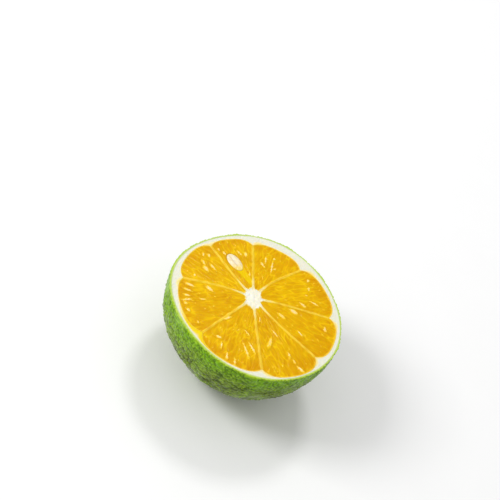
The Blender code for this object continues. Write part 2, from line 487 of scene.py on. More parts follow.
def skin_green(finish, patches, streaks, low_shade_and_sheen):
    """The green of the whole skin: its glands' own tones, and painted light and shade on glands, streaks,
    pits and creases.
    """
    place = finish.place()
    depth = finish.value("below_cut")
    green = finish.blend(patches, LEAF_GREEN, DEEP_GREEN)
    green = finish.blend(finish.value("gland_tone") * 0.45, green, PALE_GLAND)
    # painted highlight on the glands' tops
    green = finish.blend(finish.fade(finish.value("dome"), 0.55, 1.0) * 0.35, green, DOME_HIGHLIGHT)
    # painted light in the band under the cut, where light comes through the thin edge
    lit_upper = 1.0 - finish.fade(depth + 3.0 * patches, 1.5, 12.5)
    green = finish.blend(lit_upper * 0.85, green, LIT_UPPER_GREEN)
    # painted highlight in the pale streaks, and painted shade in the dark ones below
    green = finish.blend(finish.fade(streaks, 0.52, 0.64) * 0.55, green, STREAK_HIGHLIGHT)
    dark = finish.blend(low_shade_and_sheen, *STREAK_SHADE)
    green = finish.blend(finish.fade(streaks, 0.47, 0.37) * 0.80, green, dark)
    # painted shade and a painted grey sheen in the pits, low on the fruit
    pit_light_and_shade = finish.noise(finish.scaled(place, (1.0, 1.0, 1.5)), 300.0, 2.0)
    green = finish.blend(finish.fade(pit_light_and_shade, 0.48, 0.38) * low_shade_and_sheen * 0.60, green, PIT_SHADE)
    green = finish.blend(finish.fade(pit_light_and_shade, 0.53, 0.65) * low_shade_and_sheen * 0.40, green, PIT_SHEEN)
    # painted shade in the creases
    return finish.blend(finish.value("crease") * 0.85, green, CREASE_SHADE)


def rind_finish():
    """Green, waxy skin."""
    finish = Finish("green rind", Metallic=0.0, IOR=1.45, Coat_Roughness=0.22, Coat_IOR=1.21,
                    Specular_IOR_Level=0.05, Sheen_Weight=0.34, Sheen_Roughness=0.28,
                    Sheen_Tint=(0.85, 0.95, 0.72, 1.0))
    place = finish.place()
    depth = finish.value("below_cut")
    scar = finish.value("scar")
    patches = finish.fade(finish.noise(place, 120.0, 3.0), 0.35, 0.65)
    specks = finish.noise(place, 900.0, 2.0)
    streaks = finish.noise(finish.scaled(place, (1.0, 1.0, 1.7)), 520.0, 3.0, 0.62)
    # the last value says how far down the skin gets painted shade and a painted grey sheen
    green = skin_green(finish, patches, streaks, finish.fade(depth, 4.0, 14.0))
    # painted light along the thin edge just under the cut
    rim = 1.0 - finish.fade(depth + 0.9 * specks, 0.25, 1.5)
    green = finish.blend(rim * 0.85, green, LIT_EDGE_GREEN)
    green = finish.blend(finish.value("cut_rim"), green, RIM_GREEN)
    green = finish.blend(finish.value("inside"), green, INSIDE_GREEN)
    green = finish.blend(scar, green, SCAR_BROWN)
    green = finish.blend(finish.value("scar_middle"), green, SCAR_PALE)
    finish.paint(Base_Color=green)
    finish.paint(Roughness=0.40 + 0.12 * patches + 0.25 * scar)
    finish.paint(Coat_Weight=0.75 - 0.6 * scar)
    finish.bump(specks + 0.8 * streaks + 0.6 * finish.noise(place, 2600.0, 1.0), 0.00009, 0.8)
    return finish.done()


RIND_FINISH = rind_finish()

# %% [markdown]
# ## A skin of rings
#
# The green skin is a shell 0.6 mm thick. Its outside is built from rings about a quarter of a millimetre
# apart, fine enough to carry each oil gland in the mesh itself. The rings are spaced by the length of the
# profile from the pole to the cut, so the triangles are as good on the steep side as on the flat bottom.

# %% Skin rings
RIND_THICKNESS = 0.62
SKIN_STEP = 0.272
INSIDE_STEP = 1.3  # rings that no one sees are further apart
SLOPE_REACH = 0.4  # how far along the profile, up and down, its slope is measured


def profile_table(inset):
    """(arc length, radius, depth) from the pole to the cut, for the skin or for a skin set in from it."""
    width = EQUATOR_RADIUS - inset
    depth = POLE_DEPTH - inset
    flat = REST_RADIUS * width / EQUATOR_RADIUS
    turn = np.linspace(math.acos((flat / width) ** (FULLNESS / 2.0)), 0.0, 600)
    radius = width * np.cos(turn) ** (2.0 / FULLNESS)
    sunk = depth * np.sin(turn) ** (2.0 / FULLNESS)
    flat_radius = np.linspace(0.0, flat, 60)[:-1]
    radius = np.concatenate([flat_radius, radius])
    sunk = np.concatenate([np.full(len(flat_radius), sunk[0]), sunk])
    arc = np.concatenate([[0.0], np.cumsum(np.hypot(np.diff(radius), np.diff(sunk)))])
    return arc, radius, sunk


def skin_rings(inset, step):
    """Rings over a skin: for each, its points, the way out at each point, and its depth under the cut."""
    arc, radius, sunk = profile_table(inset)
    rows = max(int(round(arc[-1] / step)), 8)
    found = []
    for row in range(rows + 1):
        here = arc[-1] * row / rows
        ring_radius = np.interp(here, arc, radius)
        ring_depth = np.interp(here, arc, sunk)
        nearby = (max(here - SLOPE_REACH, 0.0), min(here + SLOPE_REACH, arc[-1]))
        run = np.diff(np.interp(nearby, arc, radius))[0]
        drop = np.diff(np.interp(nearby, arc, sunk))[0]
        count = 1 if row == 0 else max(int(round(2.0 * math.pi * ring_radius / step)), 6)
        angle = np.arange(count) * 360.0 / count
        across = ring_radius * rind_radius(angle) / EQUATOR_RADIUS
        points = np.column_stack([direction(angle) * across[:, None], np.full(count, HEIGHT - ring_depth)])
        slope = np.array((-drop, -run)) / math.hypot(drop, run)
        normal = np.column_stack([direction(angle) * slope[0], np.full(count, slope[1])])
        found.append((points, normal, ring_depth))
    return found


SKIN = skin_rings(0.0, SKIN_STEP)
print(f"the skin has {len(SKIN)} rings and {sum(len(row[0]) for row in SKIN)} points")

# %% [markdown]
# ## Oil glands
#
# The glands' middles are scattered evenly over the skin, and every point is raised or lowered by how near
# it is to the two nearest middles: high on a gland, low in the crease between two. This is how cells look
# wherever they press on each other. A k-d tree finds the nearest middles without trying them all. Some
# neighbours share only a faint crease, so they look like one larger gland.

# %% Oil glands
GLAND_STEP = 1.10  # from one gland to the next
GLAND_SHAKE = 0.46  # how far a middle is shaken, as a share of that
GLAND_FOOT = 0.62  # where a gland's dome ends, as a share of that too
GLAND_RISE = 0.23
CREASE_WIDTH = 0.27
CREASE_DEPTH = 0.24
GLAND_SQUEEZE = np.array((1.0, 1.0, 1.12))  # a gland is a little wider than it is high
SKIN_SWELLS = ((0.11, 13.0, 14), (0.09, 4.5, 15), (0.06, 2.3, 19))  # height, wavelength and seed


def scatter_glands():
    """The middles of the oil glands, evenly spread and then shaken."""
    dice = np.random.default_rng(11)
    middles = np.concatenate([points for points, _, _ in skin_rings(0.0, GLAND_STEP)])
    return middles + dice.uniform(-GLAND_SHAKE, GLAND_SHAKE, middles.shape) * GLAND_STEP


def nearest_two(points, middles):
    """For each point, the distances to the two nearest middles, and which middles they are."""
    tree = KDTree(len(middles))
    for number, middle in enumerate(middles):
        tree.insert(middle, number)
    tree.balance()
    near = np.empty(len(points))
    next_near = np.empty(len(points))
    owners = np.empty((len(points), 2), int)
    for number, point in enumerate(points):
        first, second = tree.find_n(point, 2)
        near[number] = first[2]
        next_near[number] = second[2]
        owners[number] = (first[1], second[1])
    return near, next_near, owners


def gland_relief(base):
    """How far each point of the skin stands out, with its crease, its dome and its gland's tone."""
    glands = scatter_glands()
    near, next_near, owners = nearest_two(base * GLAND_SQUEEZE, glands * GLAND_SQUEEZE)
    tones = np.random.default_rng(12).uniform(0.0, 1.0, len(glands))[owners]
    tone = tones[:, 0]
    merged = np.abs(tones.sum(axis=1) % 1.0 - 0.5) * 2.0
    crease = np.exp(-(((next_near - near) / CREASE_WIDTH) ** 2)) * (0.15 + 0.85 * merged)
    dome = 1.0 - np.clip(near / (GLAND_FOOT * GLAND_STEP), 0.0, 1.0) ** 2
    strength = 0.85 + 0.35 * ripples(base, 9.0, 13)
    relief = strength * (GLAND_RISE * (dome - 0.7) * (0.3 + 1.1 * tone) - CREASE_DEPTH * crease)
    relief += sum(height * ripples(base, wavelength, seed) for height, wavelength, seed in SKIN_SWELLS)
    print(f"{len(glands)} oil glands stand from {relief.min():.2f} to {relief.max():.2f} mm")
    return relief, crease, dome, tone


# %% [markdown]
# ## The scar at the bottom
#
# Where the flower's style fell off there is a small brown scar with a paler middle, in a shallow dimple.
# The fruit rests on this spot, so nothing may stand below the floor, and the skin is kept level there.

# %% Bottom scar
SCAR_RADIUS = 1.3
SCAR_MIDDLE = (0.4, -0.3)
SCAR_ROUGHNESS = 0.10
DIMPLE_DEPTH = 0.30


def bottom_scar(base, relief):
    """The relief with the scar's dimple in it, and how much of each point is scar and scar's middle."""
    distance = np.hypot(base[:, 0] - SCAR_MIDDLE[0], base[:, 1] - SCAR_MIDDLE[1])
    under = base[:, 2] < 0.3 * HEIGHT
    edge = SCAR_RADIUS * (1.0 + 0.22 * ripples(base, 1.6, 16))
    scar = np.where(under, 1.0 - smooth_step(0.75 * edge, edge, distance), 0.0)
    pale = np.where(under, 1.0 - smooth_step(0.3 * edge, 0.55 * edge, distance), 0.0)
    dimple = np.where(under, np.exp(-((distance / (1.8 * SCAR_RADIUS)) ** 2)), 0.0)
    rough = SCAR_ROUGHNESS * scar * (1.0 + ripples(base, 0.7, 17))
    relief = relief * (1.0 - 0.7 * scar) - DIMPLE_DEPTH * dimple - rough
    away = smooth_step(REST_RADIUS * 0.8, REST_RADIUS * 1.6, np.hypot(base[:, 0], base[:, 1]))
    return np.where(under, np.minimum(relief, 0.02 + 0.3 * away), relief), scar, pale


print(f"the scar is about {2.0 * SCAR_RADIUS} mm across")

# %% [markdown]
# ## The rind
#
# The outside is moved out and in by the relief, along the way out at each point. Then the same list of
# rings goes on over the cut rim and down the inside, so the shell closes by itself and has a real
# thickness at the cut.

# %% Rind
HAIR = 0.01  # too little to see
LIP_DROP = 0.03  # how far the skin's edge stays under the cut
RIM_SHARES = (0.10, 0.25, 0.4, 0.55, 0.7, 0.85, 1.0)
RIND_VALUES = ("crease", "dome", "gland_tone", "scar", "scar_middle", "below_cut", "cut_rim", "inside")


def outside_of_rind(rings):
    """The glands, the creases and the scar."""
    base = np.concatenate([points for points, _, _ in SKIN])
    way_out = np.concatenate([normal for _, normal, _ in SKIN])
    relief, crease, dome, tone = gland_relief(base)
    relief, scar, pale = bottom_scar(base, relief)
    moved = base + way_out * relief[:, None]
    lip = HEIGHT - LIP_DROP
    moved[:, 2] = np.where(base[:, 2] > HEIGHT - HAIR, lip, np.minimum(moved[:, 2], lip))
    moved[:, 2] = np.maximum(moved[:, 2], HAIR)
    start = 0
    for points, _, depth in SKIN:
        here = slice(start, start + len(points))
        rings.add(moved[here], crease=crease[here], dome=dome[here], gland_tone=tone[here],
                  scar=scar[here], scar_middle=pale[here], below_cut=depth, cut_rim=0.0, inside=0.0)
        start += len(points)


def rim_and_inside(rings):
    """The cut edge of the skin, and the smooth inside."""
    rest = {"crease": 0.0, "dome": 0.5, "gland_tone": 0.5, "scar": 0.0, "scar_middle": 0.0}
    rim = rings.points[-1]
    angle = np.degrees(np.arctan2(rim[:, 1], rim[:, 0]))
    outer = np.hypot(rim[:, 0], rim[:, 1])
    inner = rind_radius(angle) - RIND_THICKNESS
    for share in RIM_SHARES:
        plan = direction(angle) * (outer + (inner - outer) * share)[:, None]
        rough = -0.02 + 0.02 * ripples(plan, 1.1, 18)
        points = np.column_stack([plan, HEIGHT + np.minimum(rough, 0.0)])
        rings.add(points, below_cut=0.0, cut_rim=1.0, inside=smooth_step(0.35, 1.1, share), **rest)
    for points, _, depth in reversed(skin_rings(RIND_THICKNESS, INSIDE_STEP)[:-1]):
        rings.add(points, below_cut=depth, cut_rim=0.0, inside=1.0, **rest)


def make_rind():
    """The green skin as one closed shell."""
    rings = Rings()
    outside_of_rind(rings)
    rim_and_inside(rings)
    points = np.concatenate(rings.points)
    values = {name: rings.joined(name) for name in RIND_VALUES}
    return build_piece("rind", points, outward(points, rings.faces()), values, RIND_FINISH, flat_angle=60.0)


rind = make_rind()
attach(rind, "root")
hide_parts("peel")

# %% [markdown]
# ## The pith lining's finish
#
# Inside the green skin is the albedo, a white spongy layer. It is a little green next to the skin, where
# the skin's colour soaks in, and golden next to the pulp, where the juice does. On one side, and near the
# membranes' ends, juice has soaked in deeper. The mesh carries how near each point is to both neighbours,
# so the finish can turn these distances into stains. Fine noise roughens their edges, as sponge does.

# %% Pith lining finish
# painted shade between the fibres, and the plain white on them
PITH_WHITE_SHADED_AND_LIT = ((0.72, 0.72, 0.57), (0.88, 0.87, 0.74))  # between the fibres, and on them
GREENED_PITH = (0.60, 0.72, 0.26)
JUICED_PITH = ((0.98, 0.84, 0.46), (0.92, 0.67, 0.008))  # where little juice soaked in, and where much did


def lining_finish():
    """White sponge, greener towards the rind and yellower towards the pulp."""
    finish = Finish("white pith lining", Metallic=0.0, Roughness=0.85, Specular_IOR_Level=0.2,
                    Subsurface_Weight=0.25, Subsurface_Radius=(1.0, 0.8, 0.4), Subsurface_Scale=0.0008)
    fibres = finish.noise(finish.place(), 900.0, 4.0, 0.65)
    to_rind = finish.value("to_rind")
    # painted shade where the fibres' bump is low
    white = finish.blend(fibres, *PITH_WHITE_SHADED_AND_LIT)
    white = finish.blend(finish.fade(to_rind + 0.25 * fibres, 0.55, 1.15), white, GREENED_PITH)
    juiced = finish.fade(finish.value("to_pulp") + 0.2 * fibres - 0.9 * to_rind, 0.40, 0.85)
    juice = finish.blend(finish.fade(finish.value("juicy"), 0.0, 0.6), *JUICED_PITH)
    white = finish.blend(juiced, white, juice)
    finish.paint(Base_Color=white)
    finish.bump(fibres, 0.00012, 0.8)
    return finish.done()


LINING_FINISH = lining_finish()

# %% [markdown]
# ## The pith lining
#
# The lining is thin over the middle of each wedge and fills the notches between wedges. It is a thick
# shell too: its outside follows the rind and its inside follows the lobed edge of the pulp. The cut face
# is a little rough, because the knife tears the sponge.

# %% Pith lining
LINING_COUNT = 1000
LEVEL_COUNT = 22
JUICY_SIDE = (248.0, 20.0)  # the angle where juice has coloured the lining most, and how far that reaches
JUICY_NOTCH = (0.28, 5.0)  # how juicy it is near a membrane's end, and how far that reaches in degrees
JUICE_SOAK = (0.20, 4.4)  # how deep juice soaks in everywhere, and how much deeper at its juiciest
GREEN_SOAK = 0.38  # how deep the skin's green soaks in


def lining_cut(rings, angle, outer, inner):
    """The lining's cut face, from the rind in to the pulp."""
    width = outer - inner
    juicy = np.exp(-(((angle - JUICY_SIDE[0]) / JUICY_SIDE[1]) ** 2))
    for notch_angle, _, _, _ in WEDGES:
        off_notch = (angle - notch_angle + 180.0) % 360.0 - 180.0
        juicy = np.maximum(juicy, JUICY_NOTCH[0] * np.exp(-((off_notch / JUICY_NOTCH[1]) ** 2)))
    for share in np.linspace(0.0, 1.0, 15):
        plan = direction(angle) * (outer - width * share)[:, None]
        rough = 0.035 * ripples(plan, 0.9, 21) + 0.02 * ripples(plan, 0.45, 22) - 0.05
        rough = rough * smooth_step(0.0, 0.15, share) * (1.0 - 0.6 * smooth_step(0.85, 1.0, share))
        points = np.column_stack([plan, HEIGHT + np.minimum(rough, 0.0)])
        to_pulp = np.exp(-width * (1.0 - share) / (JUICE_SOAK[0] + JUICE_SOAK[1] * juicy))
        rings.add(points, to_rind=np.exp(-width * share / GREEN_SOAK), to_pulp=to_pulp, juicy=juicy)


def make_lining():
    """The white layer between the rind and the pulp."""
    angle = np.arange(LINING_COUNT) * 360.0 / LINING_COUNT
    outer = rind_radius(angle) - RIND_THICKNESS - SEAM
    inner = pulp_edge(angle) + SEAM
    rings = Rings()
    for points, _, _ in skin_rings(RIND_THICKNESS + SEAM, INSIDE_STEP)[:-1]:
        rings.add(points, to_rind=1.0, to_pulp=0.0, juicy=0.0)
    lining_cut(rings, angle, outer, inner)
    for share, depth in pulp_levels(LEVEL_COUNT):
        plan = direction(angle[::2]) * (inner[::2] * share)[:, None]
        ring = np.column_stack([plan, np.full(len(plan), HEIGHT - depth)])
        rings.add(ring, to_rind=0.0, to_pulp=0.6, juicy=0.0)
    rings.add((0.0, 0.0, HEIGHT - depth), to_rind=0.0, to_pulp=0.3, juicy=0.0)
    points = np.concatenate(rings.points)
    values = {name: rings.joined(name) for name in ("to_rind", "to_pulp", "juicy")}
    faces = outward(points, rings.faces())
    return build_piece("pith_lining", points, faces, values, LINING_FINISH, flat_angle=50.0)


lining = make_lining()
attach(lining, "root")
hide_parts("peel")

# %% [markdown]
# ## The pulp's finish
#
# Pulp is thousands of thin-walled bags of juice, so light goes in, scatters and comes out more orange. A
# subsurface share does that. Where a bag's wall is cut it shows as a thin paler line, and the membranes
# between wedges are paler still. Some bags are torn open, and their wet walls catch the light, so the
# clear coat is mostly on them; their glints are also painted into the colour as pale slivers, with painted
# shadow in a darker moat beside them. The noise runs in the space of the sacs and not in the frame, so that
# its streaks fan out from the core as the sacs do. No bag has quite the orange of the next.

# %% Pulp finish
ORANGE = ((0.65, 0.322, 0.0004), (0.75, 0.405, 0.0004))  # a streak's deep side, and its light one
PALE_SAC = (0.79, 0.450, 0.0005)
CLOUD = ((0.82, 0.500, 0.0005), (0.64, 0.285, 0.0005))  # a light cloud, and a deep one
SPOT = ((0.89, 0.585, 0.0010), (0.60, 0.250, 0.0005))  # a light spot, and a deep one
OUTER_ORANGE = (0.66, 0.270, 0.0005)
SAC_WALL = (0.92, 0.600, 0.004)
# painted shadow in the moat beside a torn sac's sliver, and in the gap round the seed
MOAT_SHADOW = (0.60, 0.300, 0.002)
SEED_BED = (0.86, 0.600, 0.001)
PAINTED_GLINT = ((0.95, 0.620, 0.020), (0.98, 0.73, 0.33))  # a torn wall's edge, and its middle
MEMBRANE = (1.0, 0.67, 0.060)
MEMBRANE_AT_CORE = (0.99, 0.80, 0.30)


def juice_orange(finish, streaks, clouds, spots):
    """The orange of the juice, in streaks, sacs, clouds and spots."""
    orange = finish.blend(finish.fade(streaks, 0.25, 0.75), *ORANGE)
    orange = finish.blend(finish.value("sac_tone") * 0.5, orange, PALE_SAC)
    orange = finish.blend(finish.fade(clouds, 0.55, 0.30) * 0.6, orange, CLOUD[0])
    orange = finish.blend(finish.fade(clouds, 0.52, 0.75) * 0.5, orange, CLOUD[1])
    busy = 0.25 + 0.75 * finish.fade(finish.noise(finish.place(), 150.0, 1.0), 0.42, 0.60)
    orange = finish.blend(finish.fade(spots, 0.52, 0.70) * 0.60 * busy, orange, SPOT[0])
    orange = finish.blend(finish.fade(spots, 0.46, 0.30) * 0.50 * busy, orange, SPOT[1])
    return finish.blend(finish.value("near_peel") * 0.55, orange, OUTER_ORANGE)


def pulp_finish():
    """Wet orange juice sacs in pale membranes."""
    finish = Finish("orange pulp", Metallic=0.0, IOR=1.36, Specular_IOR_Level=0.04, Coat_IOR=1.34,
                    Coat_Roughness=0.12, Subsurface_Weight=0.25, Subsurface_Radius=(1.0, 0.45, 0.03),
                    Subsurface_Scale=0.0012)
    space = finish.stretched(finish.value("along"), finish.value("across"))
    membrane = finish.value("membrane")
    sliver_glint = finish.value("sliver_glint")
    streaks = finish.noise(space, 2.6, 3.0, 0.6)
    clouds = finish.noise(finish.place(), 190.0, 2.0)
    orange = juice_orange(finish, streaks, clouds, finish.noise(space, 1.7, 1.0))
    walls = finish.value("sac_wall") * (0.20 + 0.6 * finish.fade(clouds, 0.60, 0.35))
    orange = finish.blend(walls, orange, SAC_WALL)
    # painted shadow in the moats and round the seed
    orange = finish.blend(finish.value("moat_shadow") * 0.5, orange, MOAT_SHADOW)
    orange = finish.blend(finish.value("seed_bed") * 0.8, orange, SEED_BED)
    # painted glint on the torn sacs' slivers
    orange = finish.blend(finish.fade(sliver_glint, 0.0, 0.40) * 0.9, orange, PAINTED_GLINT[0])
    orange = finish.blend(finish.fade(sliver_glint, 0.25, 0.90) * 0.9, orange, PAINTED_GLINT[1])
    orange = finish.blend(membrane, orange, MEMBRANE)
    orange = finish.blend(finish.value("near_core"), orange, MEMBRANE_AT_CORE)
    finish.paint(Base_Color=orange)
    finish.paint(Roughness=0.34 + 0.25 * membrane)
    finish.paint(Coat_Weight=0.06 + 0.5 * sliver_glint)
    finish.bump(streaks + 0.5 * finish.noise(space, 11.0, 2.0), 0.00003, 0.5)
    return finish.done()


PULP_FINISH = pulp_finish()

# %% [markdown]
# ## The plan of a wedge
#
# Each wedge's top is a grid that fans out from the core: `out` runs from 0 at the core to 1 at the peel,
# and `across` from -1 at one membrane to 1 at the next. Membranes bend a little near the core, so the
# grid's lines bend with them. The core's outline has a cusp at each membrane.

# %% Wedge plan
CORE_RADIUS = 3.22
CORE_OVAL = (0.75, 115.0)  # how much longer the core is one way, and the angle of that way
CORE_RAGGED = 0.24
CUSP_REACH = 2.5  # how far a cusp runs out along its membrane
CUSP_POWER = 5.0  # a higher power makes a thinner cusp
BEND_POWER = 1.6  # a higher power brings a membrane's bend nearer to the core


def core_edge(angle, across):
    """The core's radius round its middle, with a cusp where across is -1 or 1."""
    oval = CORE_OVAL[0] * np.cos(2.0 * np.radians(angle - CORE_OVAL[1]))
    oval = oval + CORE_RAGGED * ripples(direction(angle) * CORE_RADIUS, 1.3, 140)
    return CORE_RADIUS + oval + CUSP_REACH * np.abs(across) ** CUSP_POWER


def wedge_fan(number, across):
    """For lines across the wedge: the angle at the peel, the bend at the core, and the reach."""
    angle, radius = lobe_edge(number, across)
    outer = direction(angle) * radius[..., None] - CORE_MIDDLE
    first = WEDGES[number][0]
    turn = np.degrees(np.arctan2(outer[..., 1], outer[..., 0]))
    turn = first + (turn - first + 90.0) % 360.0 - 90.0
    share = (across + 1.0) / 2.0
    bend = WEDGES[number][1] * (1.0 - share) + WEDGES[(number + 1) % len(WEDGES)][1] * share
    return turn, bend, np.hypot(outer[..., 0], outer[..., 1])


def wedge_plan(number, out, across):
    """The (angle, radius) round the core's middle of places on the wedge."""
    turn, bend, reach = wedge_fan(number, across)
    angle = turn + bend * (1.0 - out) ** BEND_POWER
    inner = core_edge(angle, across)
    radius = inner + (reach - SEAM - inner) * out
    squeeze = np.sign(across) * np.abs(across) ** 6 * SEAM / np.maximum(radius, 1.0)
    return angle - np.degrees(squeeze), radius


for plan_number in range(len(WEDGES)):
    reach = float(wedge_plan(plan_number, np.array(1.0), np.array(0.0))[1])
    print(f"wedge {plan_number + 1} reaches {reach:.1f} mm out from the core's middle")

# %% [markdown]
# ## Juice sacs
#
# The juice sacs are cells again, but long ones that point at the core. So they are laid out like bricks in
# a space of their own, where a sac is one unit long and one unit wide, and that space is bent a little.
# The difference between the distances to the two nearest sacs tells how near a point is to a wall. Every
# random draw has a seed that counts on with the wedge's number, so no two wedges are alike.

# %% Juice sacs
SAC_LENGTH = 7.0
SAC_WIDTH = 1.85
SAC_ROWS = (6, 9)  # how many sacs there may be from the core out, and to each side of the middle
SAC_SHAKE = (0.40, 0.22)  # how far a sac's middle is shaken along and across, in sacs


def sac_space(number, angle, radius):
    """Places in the space of the sacs: (along, across)."""
    middle = WEDGES[number][0] + 22.0
    plan = direction(angle) * radius[..., None]
    along = radius / SAC_LENGTH + 0.12 * ripples(plan, 7.0, 31 + number)
    across = np.radians(angle - middle) * (5.0 + 0.78 * radius) / SAC_WIDTH
    return along, across + 0.16 * ripples(plan, 6.0, 51 + number)


def sac_middles(number):
    """The sacs' middles, as bricks that were shaken."""
    dice = np.random.default_rng(70 + number)
    across_steps = np.arange(-SAC_ROWS[1], SAC_ROWS[1] + 1)
    along, across = np.meshgrid(np.arange(SAC_ROWS[0]), across_steps, indexing="ij")
    along = along + 0.5 * (across % 2) + dice.uniform(-SAC_SHAKE[0], SAC_SHAKE[0], along.shape)
    across = across + dice.uniform(-SAC_SHAKE[1], SAC_SHAKE[1], across.shape)
    return along.ravel(), across.ravel()


def sac_cells(number, along, across):
    """For each place: the distance to a sac's wall, its sac, and its offset from the sac's middle."""
    middle_along, middle_across = sac_middles(number)
    gap_along = along.ravel()[:, None] - middle_along[None]
    gap_across = across.ravel()[:, None] - middle_across[None]
    gap = np.hypot(gap_along, gap_across)
    nearest = np.argpartition(gap, 1, axis=1)[:, :2]
    two = np.take_along_axis(gap, nearest, axis=1)
    owner = np.where(two[:, 0] <= two[:, 1], nearest[:, 0], nearest[:, 1])
    to_wall = np.abs(two[:, 0] - two[:, 1]) * SAC_WIDTH / 2.0
    off_along = np.take_along_axis(gap_along, owner[:, None], axis=1)[:, 0]
    off_across = np.take_along_axis(gap_across, owner[:, None], axis=1)[:, 0]
    return [found.reshape(along.shape) for found in (to_wall, owner, off_along, off_across)]


print(f"there is room for {len(sac_middles(0)[0])} sacs in a wedge")

# %% [markdown]
# ## Torn sacs: painted glints and flecks
#
# The knife tears some sacs open. Their walls stand up as small slivers, mostly near the peel, where the sacs
# are fattest, and their colour carries a painted glint, pale and bright, with a painted shadow in a darker
# moat beside them. They are given wedge by wedge, because their pattern is what makes this fruit look like
# itself. Tiny flecks of painted glint are scattered between them at random, because nobody would miss a
# pattern in those.

# %% Torn sacs
# Each sliver: out, across, length in mm, width in mm, and degrees that it leans off the way out.
TORN_SAC_GLINTS = (
    ((0.85, 0.77, 1.0, 0.5, 5), (0.75, 0.60, 1.6, 0.6, 8), (0.71, -0.26, 2.1, 0.6, 32),
     (0.69, -0.60, 1.9, 0.8, -8), (0.28, -0.66, 2.2, 0.5, -6)),
    ((0.86, -0.46, 1.5, 0.6, -40), (0.80, -0.62, 1.5, 0.6, -42), (0.76, -0.13, 2.2, 0.8, -30),
     (0.67, 0.12, 2.4, 1.1, -28), (0.61, -0.23, 2.8, 0.7, -15), (0.78, 0.75, 0.8, 0.6, -40)),
    ((0.83, -0.76, 3.0, 0.8, -14), (0.85, -0.54, 2.8, 0.6, -20), (0.87, -0.34, 2.1, 0.6, -18),
     (0.87, -0.18, 2.8, 0.6, 4), (0.91, -0.06, 1.3, 0.9, -40), (0.91, 0.19, 1.5, 0.9, -80),
     (0.53, -0.68, 2.5, 1.0, -36), (0.64, -0.13, 2.0, 0.5, -9), (0.87, 0.66, 1.1, 0.6, 60)),
    ((0.41, -0.88, 2.8, 0.8, -20), (0.74, -0.52, 1.8, 0.7, -70), (0.81, -0.31, 2.9, 0.5, 22),
     (0.42, 0.44, 2.8, 0.5, 50), (0.69, 0.50, 5.4, 0.6, 26), (0.63, 0.72, 4.0, 0.6, 30),
     (0.91, -0.02, 2.5, 0.6, 18), (0.93, 0.23, 3.0, 0.6, 15)),
    ((0.50, -0.35, 4.0, 1.0, -33), (0.71, 0.21, 1.8, 0.6, -7), (0.81, 0.23, 1.8, 0.6, -7),
     (0.93, 0.26, 2.6, 0.8, 18), (0.39, 0.21, 3.2, 0.5, 10), (0.17, -0.49, 1.8, 0.4, -15)),
    ((0.42, 0.66, 2.6, 1.2, -24), (0.30, -0.19, 2.8, 1.0, -11), (0.85, 0.39, 1.8, 0.7, -70),
     (0.59, -0.52, 2.3, 0.5, -18)),
    ((0.85, 0.48, 1.1, 0.6, 50), (0.77, 0.13, 1.5, 0.6, 60), (0.68, -0.16, 0.8, 0.6, -30),
     (0.75, -0.53, 3.0, 0.5, -32), (0.58, -0.71, 2.3, 0.8, -40)),
    ((0.56, 0.38, 2.0, 0.7, 50), (0.60, -0.13, 5.2, 0.45, 15), (0.68, 0.33, 2.8, 0.5, 9),
     (0.78, 0.0, 0.8, 0.6, 20), (0.59, -0.33, 0.8, 0.6, 28)),
)
SLIVER_REACH = (0.56, 0.60)  # a sliver's outline along and across, as shares of its length and width
SLIVER_TAPER = 0.35
SLIVER_RAGGED = 0.13
SLIVER_RISE = 0.16
FLECKS = 16
FLECK_GLINT = 0.30
FLECK_RISE = 0.07


def fleck_list(number):
    """Tiny flecks of painted glint at random places, as slivers."""
    dice = np.random.default_rng(170 + number)
    out = dice.uniform(0.12, 0.96, FLECKS) ** 0.8
    across = dice.uniform(-0.85, 0.85, FLECKS)
    length = dice.uniform(0.45, 1.5, FLECKS)
    width = dice.uniform(0.30, 0.55, FLECKS)
    lean = dice.uniform(-30.0, 30.0, FLECKS)
    return list(zip(out, across, length, width, lean))


def sliver_shape(number, sliver, angle, radius):
    """How far from a sliver's middle each place is: 0 in the middle, 1 at its outline."""
    out, across, length, width, lean = sliver
    at_angle, at_radius = wedge_plan(number, np.array(out), np.array(across))
    plan = direction(angle) * radius[..., None]
    torn_edge = np.stack([ripples(plan, 0.9, 230), ripples(plan, 0.9, 231)], axis=-1)
    plan = plan + SLIVER_RAGGED * torn_edge - direction(at_angle) * at_radius
    ahead = direction(at_angle + lean)
    along = plan @ ahead / (length * SLIVER_REACH[0])
    aside = (plan[..., 1] * ahead[0] - plan[..., 0] * ahead[1]) / (width * SLIVER_REACH[1])
    taper = 1.0 + SLIVER_TAPER * np.clip(along, -1.0, 1.0)
    return np.hypot(along, aside / taper), aside


def sliver_glint_values(number, angle, radius):
    """How much painted glint, rise and painted shadow in a moat each place has from slivers and flecks."""
    pale = np.zeros_like(radius)
    rise = np.zeros_like(radius)
    moat_shadow = np.zeros_like(radius)
    dice = np.random.default_rng(210 + number)
    for sliver in TORN_SAC_GLINTS[number]:
        away, aside = sliver_shape(number, sliver, angle, radius)
        body = 1.0 - smooth_step(0.20, 1.5, away)
        # painted glint: how pale the sliver is
        pale = np.maximum(pale, dice.uniform(0.6, 0.95) * body)
        rise = np.maximum(rise, SLIVER_RISE * body)
        # painted shadow in a moat round the sliver, stronger on one side
        moat_shadow = np.maximum(moat_shadow, np.exp(-(((away - 1.45) / 0.4) ** 2)) * (0.6 + 0.4 * np.sign(aside)))
    for sliver in fleck_list(number):
        body = 1.0 - smooth_step(0.3, 1.2, sliver_shape(number, sliver, angle, radius)[0])
        pale = np.maximum(pale, FLECK_GLINT * body)
        rise = np.maximum(rise, FLECK_RISE * body)
    return pale, rise, moat_shadow * (1.0 - pale)


print(f"{sum(len(slivers) for slivers in TORN_SAC_GLINTS)} torn sacs, and {FLECKS} flecks in each wedge")

